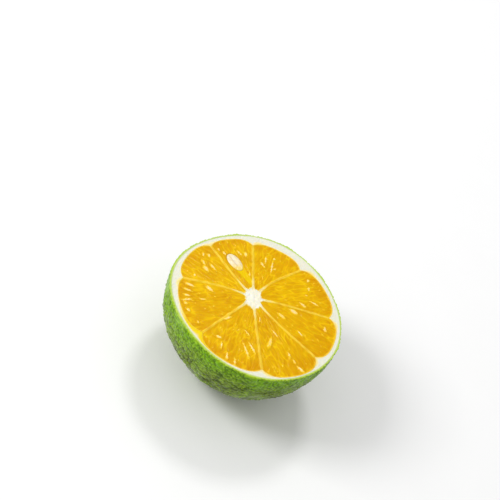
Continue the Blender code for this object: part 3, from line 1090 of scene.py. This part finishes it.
# %% [markdown]
# ## The seed's place
#
# The knife went through one seed, lengthwise. The solid seed's box says where its middle is, and it lies
# with its point towards the core, a little turned. The pulp needs the seed's outline too, because it makes
# a pocket round the seed, and it is a clearer yellow from the seed's point on towards the core.

# %% Seed outline
SEED_HALF_LENGTH = 3.55
SEED_HALF_WIDTH = 2.10
SEED_DEPTH = 1.85
SEED_POINT = 0.06  # how much narrower the seed is towards its point
SEED_HEADING = -26.75  # the angle that its point looks in
seed_low, seed_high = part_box("seed")
SEED_MIDDLE = np.array([(seed_low[axis] + seed_high[axis]) / 2.0 / MM for axis in (0, 1)])
print(f"the seed lies at {np.round(SEED_MIDDLE, 2)} mm")


def seed_space(plan):
    """Places as (along, across) the seed, in millimetres, with the point of the seed at +along."""
    gap = plan - SEED_MIDDLE
    ahead = direction(SEED_HEADING)
    return gap @ ahead, gap[..., 1] * ahead[0] - gap[..., 0] * ahead[1]


def seed_share(plan, extra=0.0):
    """0 in the middle of the seed and 1 on its outline."""
    along, across = seed_space(plan)
    along = along / (SEED_HALF_LENGTH + extra)
    narrow = 1.0 - SEED_POINT * np.clip(along, -1.0, 1.0)
    return np.hypot(along, across / ((SEED_HALF_WIDTH + extra) * narrow))


def bed_values(plan):
    """The clear yellow bed from the seed's point towards the core."""
    along, across = seed_space(plan)
    run = smooth_step(0.5, 4.0, along) * (1.0 - smooth_step(8.5, 11.5, along))
    half = 2.3 - 0.12 * along
    return run * (1.0 - smooth_step(0.5 * half, half, np.abs(across + 0.2)))


# %% [markdown]
# ## The top of a wedge
#
# Now the facts come together: membranes stand level with the cut, and the pulp between them is sunk by a
# hair, with every sac swelling up on its own. A bump in the finish could draw the sacs too, but real relief
# catches the light from any side and is there in the mesh. The same numbers that shape the relief are kept
# as values for the finish, so that colour and shape always agree.

# %% Wedge top
MEMBRANE_HALF = 0.26
PULP_SINK = 0.13  # how far the pulp lies under the cut
SAC_SWELL = 0.045  # how far a sac swells up again
SAC_SHOULDER = 0.40  # how near its wall it starts to
SAC_STEP = 0.03  # how much higher or lower than the rest a sac may be
SAC_TILT = 0.06  # how much a sac may lean
WALL_HALF = 0.11  # how near to the line between two sacs their walls show
CORE_GLOW = (0.2, 3.6)  # the membranes are white this near the core, and yellow from this far
PEEL_REACH = 4.5  # how far in from the peel the pulp is deeper orange
WEDGE_VALUES = ("membrane", "sac_wall", "sac_tone", "near_core", "sliver_glint", "moat_shadow", "seed_bed",
                "near_peel", "along", "across")


def edge_distances(number, out, across, angle, radius):
    """How far each place is from a membrane, from the peel and from the core."""
    reach = wedge_fan(number, across)[2] - core_edge(angle, across)
    low_side = wedge_plan(number, out, np.full_like(across, -1.0))[0]
    high_side = wedge_plan(number, out, np.full_like(across, 1.0))[0]
    to_side = np.radians(np.minimum(angle - low_side, high_side - angle)) * radius
    return to_side, (1.0 - out) * reach, out * reach


def sac_surface(number, angle, radius):
    """The swollen sacs: relief, distance to a wall, each sac's tone, and the place in their space."""
    along, short = sac_space(number, angle, radius)
    to_wall, owner, off_along, off_across = sac_cells(number, along, short)
    dice = np.random.default_rng(110 + number)
    sacs = int(owner.max()) + 1
    level = dice.uniform(-SAC_STEP, SAC_STEP, sacs)[owner]
    tilt = dice.uniform(-SAC_TILT, SAC_TILT, sacs)[owner] * off_along
    tilt += dice.uniform(-SAC_TILT, SAC_TILT, sacs)[owner] * off_across
    tone = dice.uniform(0.0, 1.0, sacs)[owner]
    relief = (SAC_SWELL + level + tilt) * (1.0 - np.exp(-to_wall / SAC_SHOULDER))
    return relief, to_wall, tone, along, short


def sink_seed(plan, relief, values):
    """The relief with the seed's pocket and bed in it. The values are changed to suit."""
    place = CORE_MIDDLE + plan
    bed = bed_values(place)
    pocket = 1.0 - smooth_step(0.97, 1.03, seed_share(place))
    hollow = np.sqrt(np.clip(1.0 - seed_share(place, 0.1) ** 2, 0.0, 1.0))
    # painted shadow in the gap round the seed, on the side away from its point
    seed_gap_shadow = np.exp(-(((seed_share(place) - 1.08) / 0.09) ** 2))
    seed_gap_shadow = seed_gap_shadow * (1.0 - smooth_step(0.5, 2.8, seed_space(place)[0]))
    values["seed_bed"] = bed
    values["sac_wall"] = values["sac_wall"] * (1.0 - bed)
    values["moat_shadow"] = np.maximum(values["moat_shadow"], seed_gap_shadow)
    return relief * (1.0 - 0.7 * bed) - pocket * (0.25 + SEED_DEPTH * hollow)


def wedge_top(number, out, across):
    """Plan, heights and values over the top of a wedge."""
    angle, radius = wedge_plan(number, out, across)
    plan = direction(angle) * radius[..., None]
    to_side, to_peel, to_core = edge_distances(number, out, across, angle, radius)
    wander = 0.07 * ripples(plan, 2.6, 90 + number)
    to_edge = np.minimum(to_side, np.minimum(to_peel * 1.3, to_core * 1.5)) + wander
    pulp = smooth_step(MEMBRANE_HALF * 0.5, MEMBRANE_HALF * 2.3, to_edge)
    sacs, to_wall, tone, along, short = sac_surface(number, angle, radius)
    pale, rise, moat_shadow = sliver_glint_values(number, angle, radius)
    relief = sacs + rise - 0.03 * moat_shadow
    relief += 0.012 * ripples(np.stack([along * 2.0, short], axis=-1), 0.6, 130 + number)
    peel_patches = np.clip(0.7 + 0.5 * ripples(plan, 3.0, 191), 0.0, 1.0)
    values = {
        "membrane": (1.0 - pulp) * np.clip(0.85 + 0.25 * ripples(plan, 4.0, 190), 0.4, 1.0),
        "sac_wall": np.exp(-((to_wall / WALL_HALF) ** 2)) * pulp,
        "sac_tone": tone,
        "near_core": (1.0 - smooth_step(*CORE_GLOW, to_core)) * (1.0 - pulp),
        # painted glint on the slivers
        "sliver_glint": pale * pulp,
        "moat_shadow": moat_shadow * pulp,
        "seed_bed": np.zeros_like(pulp),
        "near_peel": np.clip(1.0 - to_peel / PEEL_REACH, 0.0, 1.0) * peel_patches,
        "along": along * 1.2,
        "across": short,
    }
    if number == 0:
        relief = sink_seed(plan, relief, values)
    height = HEIGHT + np.minimum(pulp * (relief - PULP_SINK), 0.0) - 0.02 * (1.0 - pulp)
    return plan, height, values


# %% [markdown]
# ## Wedges
#
# A wedge is its fine top, plainer sides that follow the lining and the core down to the floor of the pulp,
# and a closed underside. The sides shrink towards the fruit's axis like the lining does, so the seams stay
# the same hairline all the way down.

# %% Wedges
PULP_STEP = 0.155
WEDGE_SPAN = (21.5, 19.0)  # about how long and how wide the widest wedge's top is


def grid_faces(rows, columns):
    """Two triangles for each cell of a grid."""
    corner = (np.arange(rows - 1)[:, None] * columns + np.arange(columns - 1)[None]).ravel()
    one = np.stack([corner, corner + 1, corner + columns], axis=1)
    two = np.stack([corner + 1, corner + columns + 1, corner + columns], axis=1)
    return np.concatenate([one, two])


def grid_border(rows, columns):
    """The places on the grid's border, once round."""
    grid = np.arange(rows * columns).reshape(rows, columns)
    return np.concatenate([grid[0, :-1], grid[:-1, -1], grid[-1, :0:-1], grid[:0:-1, 0]])


def wedge_side(number, out, across, plan, share, depth):
    """One ring of a wedge's sides, at a level under the cut."""
    angle = wedge_plan(number, np.zeros_like(across), across)[0]
    inner = direction(angle) * core_edge(angle, across)[:, None]
    ring = plan * share + inner * ((core_share(share) - share) * (1.0 - out))[:, None]
    return np.column_stack([CORE_MIDDLE * share + ring, np.full(len(ring), HEIGHT - depth)])


def make_wedge(number):
    """One wedge of pulp."""
    rows = int(WEDGE_SPAN[0] / PULP_STEP)
    columns = int(WEDGE_SPAN[1] / PULP_STEP)
    out = np.linspace(0.0, 1.0, rows)[:, None] + np.zeros(columns)
    across = np.linspace(-1.0, 1.0, columns)[None] + np.zeros((rows, 1))
    plan, height, values = wedge_top(number, out, across)
    points = [np.column_stack([(CORE_MIDDLE + plan).reshape(-1, 2), height.ravel()])]
    spread = {name: [values[name].ravel()] for name in WEDGE_VALUES}
    faces = [grid_faces(rows, columns)]
    border = grid_border(rows, columns)
    edge_out = out.ravel()[border]
    edge_across = across.ravel()[border]
    edge_plan = plan.reshape(-1, 2)[border]
    last = border
    start = rows * columns
    for share, depth in pulp_levels(LEVEL_COUNT, 2.0 * SEAM):
        points.append(wedge_side(number, edge_out, edge_across, edge_plan, share, depth))
        here = start + np.arange(len(border))
        faces.append(np.stack([last, here, np.roll(last, -1)], axis=1))
        faces.append(np.stack([np.roll(last, -1), here, np.roll(here, -1)], axis=1))
        last = here
        start += len(border)
    points.append(points[-1].mean(axis=0, keepdims=True))
    faces.append(np.stack([last, np.full(len(last), start), np.roll(last, -1)], axis=1))
    hidden = start + 1 - rows * columns
    for name in WEDGE_VALUES:
        spread[name].append(np.full(hidden, 0.9 if name == "membrane" else 0.0))
    points = np.concatenate(points)
    faces = outward(points, np.concatenate(faces))
    values = {name: np.concatenate(parts) for name, parts in spread.items()}
    return build_piece(f"wedge_{number + 1}", points, faces, values, PULP_FINISH, flat_angle=70.0)


for wedge_number in range(len(WEDGES)):
    wedge = make_wedge(wedge_number)
    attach(wedge, "root")
    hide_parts(f"segment_{wedge_number + 1}")

# %% [markdown]
# ## The core
#
# The white column in the middle is the same sponge as the lining. At the cut it is a star, because a cusp
# of it runs out along every membrane. It is drawn as rings that grow from a point to the star's outline,
# and then as rings that go down to the end of the column.

# %% Core finish
# painted shade in the sponge's hollows, and the plain white on its fibres
SPONGE_WHITE_SHADED_AND_LIT = ((0.82, 0.79, 0.60), (0.93, 0.90, 0.76))  # in its hollows, and on its fibres
LUMP_WHITE = (0.95, 0.92, 0.84)
CUSP_CREAM = (1.0, 0.78, 0.26)


def core_finish():
    """Dry white pith."""
    finish = Finish("white core", Metallic=0.0, Roughness=0.8, Specular_IOR_Level=0.2,
                    Subsurface_Weight=0.3, Subsurface_Radius=(1.0, 0.8, 0.5), Subsurface_Scale=0.001)
    place = finish.place()
    sponge = finish.noise(place, 1100.0, 4.0, 0.6)
    lumps = finish.fade(finish.noise(place, 420.0, 2.0), 0.35, 0.7)
    # painted shade where the sponge's bump is low
    white = finish.blend(sponge, *SPONGE_WHITE_SHADED_AND_LIT)
    white = finish.blend(lumps * 0.7, white, LUMP_WHITE)
    white = finish.blend(finish.value("cusp"), white, CUSP_CREAM)
    finish.paint(Base_Color=white)
    finish.bump(sponge, 0.00015, 0.8)
    return finish.done()


CORE_FINISH = core_finish()

# %% Core
CORE_COUNT = 480
CUSP_START = (2.6, 4.6)  # how far out a cusp's cream starts, and where it is full


def star_outline():
    """The star's (angle, radius, cusp) round the core's middle, gathered wedge by wedge."""
    across = np.linspace(-1.0, 1.0, CORE_COUNT // len(WEDGES) + 1)[:-1]
    gathered = []
    for number in range(len(WEDGES)):
        angle, radius = wedge_plan(number, np.zeros_like(across), across)
        gathered.append(np.stack([angle, radius - SEAM, np.abs(across) ** 3]))
    return np.concatenate(gathered, axis=1)


def make_core():
    """The star at the cut and the column under it."""
    angle, reach, cusp = star_outline()
    rings = Rings()
    rings.add((*CORE_MIDDLE, HEIGHT - 0.10), cusp=0.0)
    for share in np.linspace(0.0, 1.0, 25)[1:]:
        plan = CORE_MIDDLE + direction(angle) * (reach * share)[:, None]
        rough = 0.06 * ripples(plan, 1.8, 151) + 0.03 * ripples(plan, 0.8, 152) - 0.08
        rough = np.minimum(rough * (1.0 - 0.7 * smooth_step(0.8, 1.0, share)), 0.0)
        tint = cusp * smooth_step(*CUSP_START, reach * share)
        rings.add(np.column_stack([plan, HEIGHT + rough]), cusp=tint)
    for share, depth in pulp_levels(LEVEL_COUNT, 2.0 * SEAM):
        plan = CORE_MIDDLE * share + direction(angle) * (reach * core_share(share))[:, None]
        rings.add(np.column_stack([plan, np.full(len(plan), HEIGHT - depth)]), cusp=0.0)
    rings.add((*(CORE_MIDDLE * share), HEIGHT - depth), cusp=0.0)
    points = np.concatenate(rings.points)
    values = {"cusp": rings.joined("cusp")}
    faces = outward(points, rings.faces())
    return build_piece("core_star", points, faces, values, CORE_FINISH, flat_angle=50.0)


core = make_core()
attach(core, "root")
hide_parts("core")

# %% [markdown]
# ## The cut seed
#
# The half seed is an egg that the knife halved. Its cut face shows a tough pale coat round a creamy
# inside, with a faint grey line where the two leaves of the sprout lie together, and juice has stained the
# end that points to the core. The cut face is rings from the middle out to the outline, and the egg's
# underside is rings back in to its lowest point.

# %% Seed finish
SEED_CREAM = ((0.78, 0.61, 0.32), (0.90, 0.79, 0.52))
SEAM_GREY = (0.60, 0.50, 0.42)
SEED_COAT = (0.90, 0.74, 0.42)
SEED_END = (0.90, 0.64, 0.08)


def seed_finish():
    """Cream seed, waxy where it was cut."""
    finish = Finish("cream seed", Metallic=0.0, Roughness=0.38, IOR=1.45, Coat_Weight=0.3,
                    Coat_Roughness=0.2, Subsurface_Weight=0.3, Subsurface_Radius=(1.0, 0.8, 0.5),
                    Subsurface_Scale=0.001)
    mottle = finish.noise(finish.place(), 700.0, 3.0)
    cream = finish.blend(finish.fade(mottle, 0.35, 0.65), *SEED_CREAM)
    cream = finish.blend(finish.value("seam") * 0.45, cream, SEAM_GREY)
    cream = finish.blend(finish.value("coat_edge") * 0.6, cream, SEED_COAT)
    cream = finish.blend(finish.value("inner_end") * 0.85, cream, SEED_END)
    finish.paint(Base_Color=cream)
    finish.bump(mottle, 0.00006, 0.7)
    return finish.done()


SEED_FINISH = seed_finish()

# %% Cut seed
SEED_COUNT = 140
SEED_DROP = 0.12  # how far under the cut the widest part of the seed's underside is


def seed_ring(share):
    """The seed's outline at a share of its size, in plan."""
    turn = np.arange(SEED_COUNT) * 2.0 * math.pi / SEED_COUNT
    along = np.cos(turn) * SEED_HALF_LENGTH * share
    across = np.sin(turn) * SEED_HALF_WIDTH * share * (1.0 - SEED_POINT * np.cos(turn))
    ahead = direction(SEED_HEADING)
    aside = np.array((-ahead[1], ahead[0]))
    return SEED_MIDDLE + along[:, None] * ahead + across[:, None] * aside, along, across


def make_seed():
    """The cut face and the egg under it."""
    rings = Rings()
    rings.add((*SEED_MIDDLE, HEIGHT - 0.06), seam=1.0, inner_end=0.0, coat_edge=0.0)
    for share in np.linspace(0.0, 1.0, 26)[1:]:
        plan, along, across = seed_ring(share)
        crown = 0.05 * (1.0 - share**2) + 0.02 * ripples(plan, 1.0, 181) - 0.09
        seam = np.exp(-((across / 0.32) ** 2)) * (1.0 - smooth_step(1.6, 2.6, np.abs(along)))
        crown = crown - 0.04 * seam - 0.05 * smooth_step(0.93, 1.0, share)
        edge = smooth_step(0.80, 0.90, share)
        end = smooth_step(0.3, 2.9, along - 0.35 * across)
        rings.add(np.column_stack([plan, HEIGHT + crown]), seam=seam, inner_end=end, coat_edge=edge)
    coat = {"seam": 0.0, "inner_end": 0.0, "coat_edge": 1.0}
    for turn in np.linspace(0.0, math.pi / 2.0, 20)[1:-1]:
        plan, _, _ = seed_ring(math.cos(turn))
        height = HEIGHT - SEED_DROP - SEED_DEPTH * math.sin(turn)
        rings.add(np.column_stack([plan, np.full(len(plan), height)]), **coat)
    rings.add((*SEED_MIDDLE, HEIGHT - SEED_DROP - SEED_DEPTH), **coat)
    points = np.concatenate(rings.points)
    values = {name: rings.joined(name) for name in ("seam", "inner_end", "coat_edge")}
    faces = outward(points, rings.faces())
    return build_piece("cut_seed", points, faces, values, SEED_FINISH, flat_angle=60.0)


seed = make_seed()
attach(seed, "root")
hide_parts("seed")

# %% [markdown]
# ## The floor
#
# The fruit stands on a plain white floor. It is a wide disc, so that its edge is far out of view, with a
# grain so faint that it only keeps the white from looking dead.

# %% Floor
FLOOR_COUNT = 96
FLOOR_RADII = (0.1, 0.4, 1.2, 4.0)  # in metres
FLOOR_WHITE = ((0.94, 0.94, 0.94), (0.96, 0.96, 0.96))


def make_floor():
    """A plain white floor."""
    finish = Finish("white floor", Metallic=0.0, Roughness=0.9, Specular_IOR_Level=0.2)
    grain = finish.noise(finish.place(), 60.0, 2.0)
    finish.paint(Base_Color=finish.blend(grain, *FLOOR_WHITE))
    angle = np.arange(FLOOR_COUNT) * 360.0 / FLOOR_COUNT
    rings = Rings()
    rings.add((0.0, 0.0, 0.0))
    for radius in FLOOR_RADII:
        rings.add(np.column_stack([direction(angle) * radius / MM, np.zeros(len(angle))]))
    return build_piece("floor", np.concatenate(rings.points), rings.faces(), {}, finish.done())


floor = make_floor()

# %% [markdown]
# ## Light
#
# The light comes from all round, as in a light tent, with two panels in it. The key panel stands to the
# left and shapes the rind. The small back panel stands behind the fruit, where its reflection reaches the
# camera off the wet pulp.

# %% Light
TENT_LIGHT = 0.58
PANEL_DISTANCE = 0.9  # in metres


def add_panel(name, azimuth, elevation, size, brightness):
    """A square lamp that looks at the fruit. Azimuth 0 is on the camera's side."""
    lamp = bpy.data.lights.new(name, "AREA")
    lamp.size = size
    lamp.energy = brightness * math.pi * size**2
    panel = bpy.data.objects.new(name, lamp)
    turn = math.radians(azimuth)
    rise = math.radians(elevation)
    heading = Vector((math.sin(turn) * math.cos(rise), -math.cos(turn) * math.cos(rise), math.sin(rise)))
    panel.location = heading * PANEL_DISTANCE
    panel.rotation_euler = (-heading).to_track_quat("-Z", "Y").to_euler()
    panel.visible_camera = False
    bpy.context.scene.collection.objects.link(panel)


add_panel("key_panel", azimuth=290.0, elevation=38.0, size=0.34, brightness=12.0)
add_panel("back_panel", azimuth=195.0, elevation=58.0, size=0.17, brightness=20.0)

world = bpy.data.worlds.new("light_tent")
bpy.context.scene.world = world
world.use_nodes = True
background = world.node_tree.nodes["Background"]
background.inputs["Color"].default_value = (1.0, 1.0, 1.0, 1.0)
background.inputs["Strength"].default_value = TENT_LIGHT
bpy.context.scene.view_settings.view_transform = "Standard"
print(f"a tent of {TENT_LIGHT} and two panels")

# %% [markdown]
# ## The camera
#
# The camera looks at the cut face from 46 degrees up, from seventeen radii away, so that the shape isn't
# stretched. It is rolled by 30 degrees, so the fruit seems to lean to the right and shows its left side.
# A camera looks along its own -Z with +Y up, so its matrix is built from those three directions.

# %% Camera
CAMERA_ELEVATION = 46.0
CAMERA_ROLL = 29.75
CAMERA_DISTANCE = 17.0 * EQUATOR_RADIUS
AIM_OFF_MIDDLE = Vector((-11.07, 9.67, 9.33))  # so that the fruit stands low in the frame
LENS_LENGTH = 112.0
SENSOR_WIDTH = 36.0
NEAR_CLIP = 0.01  # in metres


def make_camera():
    """The camera, rolled about the way it looks."""
    middle = Vector((0.0, 0.0, HEIGHT))
    rise = math.radians(CAMERA_ELEVATION)
    place = middle + CAMERA_DISTANCE * Vector((0.0, -math.cos(rise), math.sin(rise)))
    forward = (middle + AIM_OFF_MIDDLE - place).normalized()
    level_right = forward.cross(Vector((0.0, 0.0, 1.0))).normalized()
    level_up = level_right.cross(forward)
    roll = math.radians(CAMERA_ROLL)
    right = math.cos(roll) * level_right + math.sin(roll) * level_up
    up = right.cross(forward)
    lens = bpy.data.cameras.new("camera")
    lens.lens = LENS_LENGTH
    lens.sensor_width = SENSOR_WIDTH
    lens.clip_start = NEAR_CLIP
    camera = bpy.data.objects.new("camera", lens)
    turned = Matrix((right, up, -forward)).transposed().to_4x4()
    camera.matrix_world = Matrix.Translation(place * MM) @ turned
    bpy.context.scene.collection.objects.link(camera)
    bpy.context.scene.camera = camera
    print(f"the camera stands {CAMERA_DISTANCE:.0f} mm away")


make_camera()
